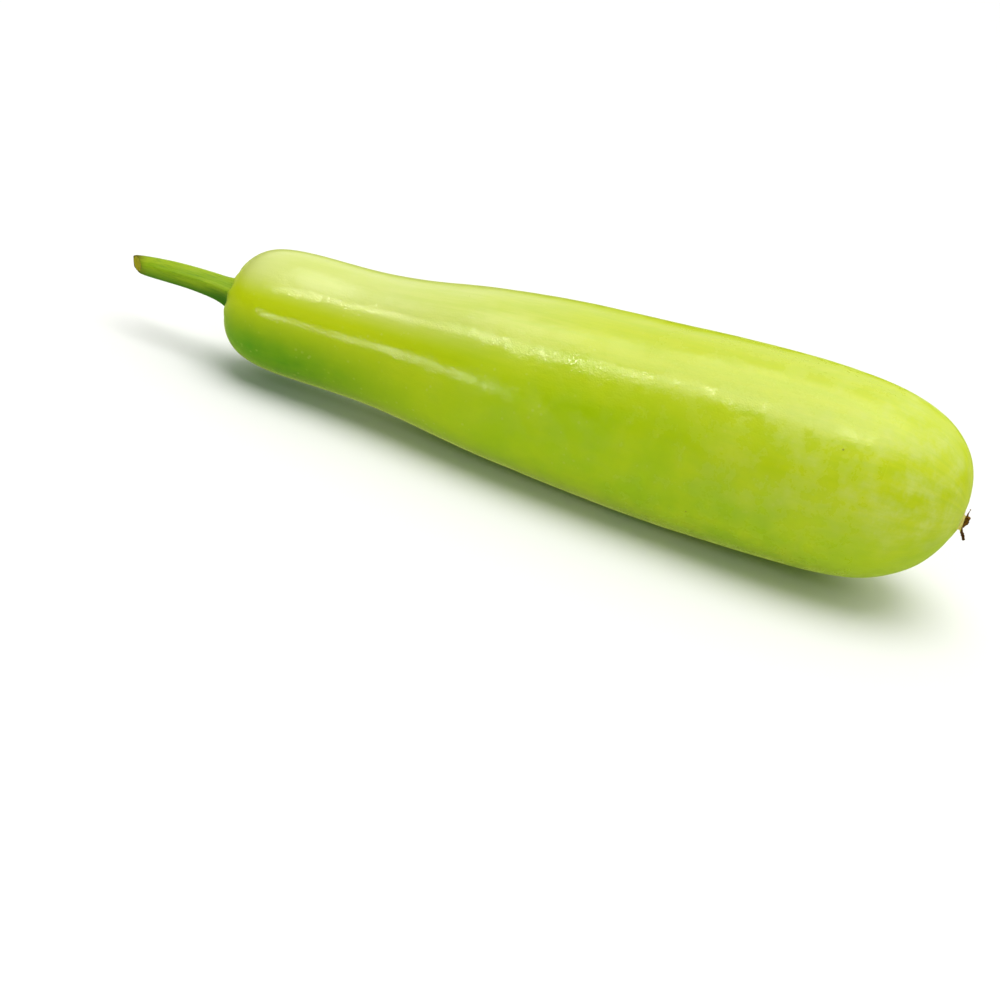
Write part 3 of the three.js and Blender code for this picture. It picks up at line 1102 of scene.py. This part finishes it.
# %% [markdown]
# The studio is plain: a white table that runs on to a white background. The table is only
# a stage, so it isn't counted as part of the object, and it isn't seen in reflections,
# where it would lay a milky band along the lower side. The world's glow is weak in front
# and bright above and behind, which lights the upper outline. Near and below the horizon it
# turns lime, and that keeps the shaded side a clear green. The camera itself sees a pure
# white world, because a Light Path node tells its rays from the others.

# %% Table and glow
FLOOR_SIZE = 60.0
FLOOR_DROP = 0.0001
FLOOR_WHITE = (0.86, 0.86, 0.85)
GLOW = 0.18
GLOW_WHITE = (1.0, 1.0, 0.98)
BACKDROP_GLOW = 1.0
BACKDROP_SIDE = (0.22, 0.51, 0.831)
LOW_GLOW = (0.66, 0.78, 0.16)
LOW_GLOW_STRENGTH = 0.75


def build_floor():
    half = FLOOR_SIZE / 2
    corners = [(-half, -half, 0), (half, -half, 0), (half, half, 0), (-half, half, 0)]
    mesh = bpy.data.meshes.new("table")
    mesh.from_pydata(corners, [], [(0, 1, 2, 3)])
    floor = add_piece("table", mesh)
    floor.location.z = -FLOOR_DROP
    floor.visible_glossy = False
    finish, tree, shader, _ = new_finish("table_white")
    plug(tree, shader, {
        "Base Color": (*FLOOR_WHITE, 1), "Roughness": 0.9, "Specular IOR Level": 0.1,
    })
    mesh.materials.append(finish)
    floor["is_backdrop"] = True
    return floor


def build_glow():
    world = bpy.data.worlds.new("studio")
    world.use_nodes = True
    tree = world.node_tree
    tree.nodes.clear()
    toward = add_node(tree, "TexCoord").outputs["Generated"]
    height = add_node(tree, "SeparateXYZ", {"Vector": toward}).outputs["Z"]
    sockets = {0: toward, 1: BACKDROP_SIDE}
    behind = add_node(tree, "VectorMath", sockets, operation="DOT_PRODUCT").outputs["Value"]
    below = ranged(tree, height, 0.02, -0.12)
    colour = tint(tree, ranged(tree, height, 0.45, 0.10), GLOW_WHITE, LIME)
    colour = tint(tree, below, colour, LOW_GLOW)
    strength = ranged(tree, behind, 0.38, 0.66, GLOW, BACKDROP_GLOW)
    strength = calc(tree, "MAXIMUM", strength, times(tree, below, LOW_GLOW_STRENGTH))
    cast = add_node(tree, "Background", {"Color": colour, "Strength": strength}).outputs[0]
    seen = add_node(tree, "Background", {"Color": (1, 1, 1, 1), "Strength": 1.0}).outputs[0]
    to_camera = add_node(tree, "LightPath").outputs["Is Camera Ray"]
    mixed = add_node(tree, "MixShader", {0: to_camera, 1: cast, 2: seen}).outputs[0]
    add_node(tree, "OutputWorld", {"Surface": mixed})
    bpy.context.scene.world = world
    return world


bpy.context.scene.view_settings.view_transform = "Standard"
floor = build_floor()
world = build_glow()
print("stage piece:", floor.name, "and world:", world.name)

# %% [markdown]
# One wide, soft sun straight overhead makes the pale top and the soft shadow, and a weak
# fill from the camera's side opens up the flank. The bright streaks on a glossy skin are
# mirror images of lamps, so three more lamps are only there to be mirrored: two narrow
# strips along the flank and a patch on the belly. They add no light of any other kind, so
# the skin's colours stay as they are, and the camera sees none of these panels.

# %% Lamps
KEY_STRENGTH = 1.7
KEY_SPREAD = math.radians(52)
FILL_POWER = 6.0
# Name, place, point aimed at, length and width in metres, and power in watts.
MIRRORED_LAMPS = (
    ("streak_high", (-0.18, -0.45, 0.92), (-0.18, 0, 0.05), 0.96, 0.011, 3.8),
    ("streak_low", (-0.32, -0.5, 0.028), (-0.32, 0, 0.04), 0.2, 0.006, 0.27),
    ("belly_patch", (0.19, -0.38, 0.92), (0.13, -0.03, 0.074), 0.20, 0.07, 0.22),
)


def add_light(name, kind, place, aim, **settings):
    lamp = bpy.data.lights.new(name, kind)
    for setting, value in settings.items():
        setattr(lamp, setting, value)
    light = bpy.data.objects.new(name, lamp)
    light.location = place
    light.rotation_euler = (Vector(aim) - Vector(place)).to_track_quat("-Z", "Y").to_euler()
    bpy.context.scene.collection.objects.link(light)
    return light


def add_panel(name, place, aim, length, width, power):
    """A flat, oblong lamp that lights the gourd but isn't seen by the camera."""
    panel = add_light(
        name, "AREA", place, aim,
        shape="RECTANGLE", size=length, size_y=width, energy=power,
    )
    panel.visible_camera = False
    return panel


add_light("key", "SUN", (0, 0, 2), (0, 0, 0), energy=KEY_STRENGTH, angle=KEY_SPREAD)
fill = add_panel("fill", (-0.3, -1.6, 0.9), (0, 0, 0.03), 1.6, 1.0, FILL_POWER)
fill.visible_glossy = False
for lamp in MIRRORED_LAMPS:
    add_panel(*lamp).visible_diffuse = False

# %% [markdown]
# Last comes the measuring. The box of the visual pieces is written beside the box of the
# CAD model, so that the two can be compared after each render.

# %% Print the boxes and finish
bpy.context.view_layer.update()
visual_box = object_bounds()
boxes = {
    "cad": [list(corner) for corner in cad_box],
    "visual": [list(corner) for corner in visual_box],
}
for name, box in boxes.items():
    print(name, "box in mm:", [[round(v * 1000, 2) for v in corner] for corner in box])
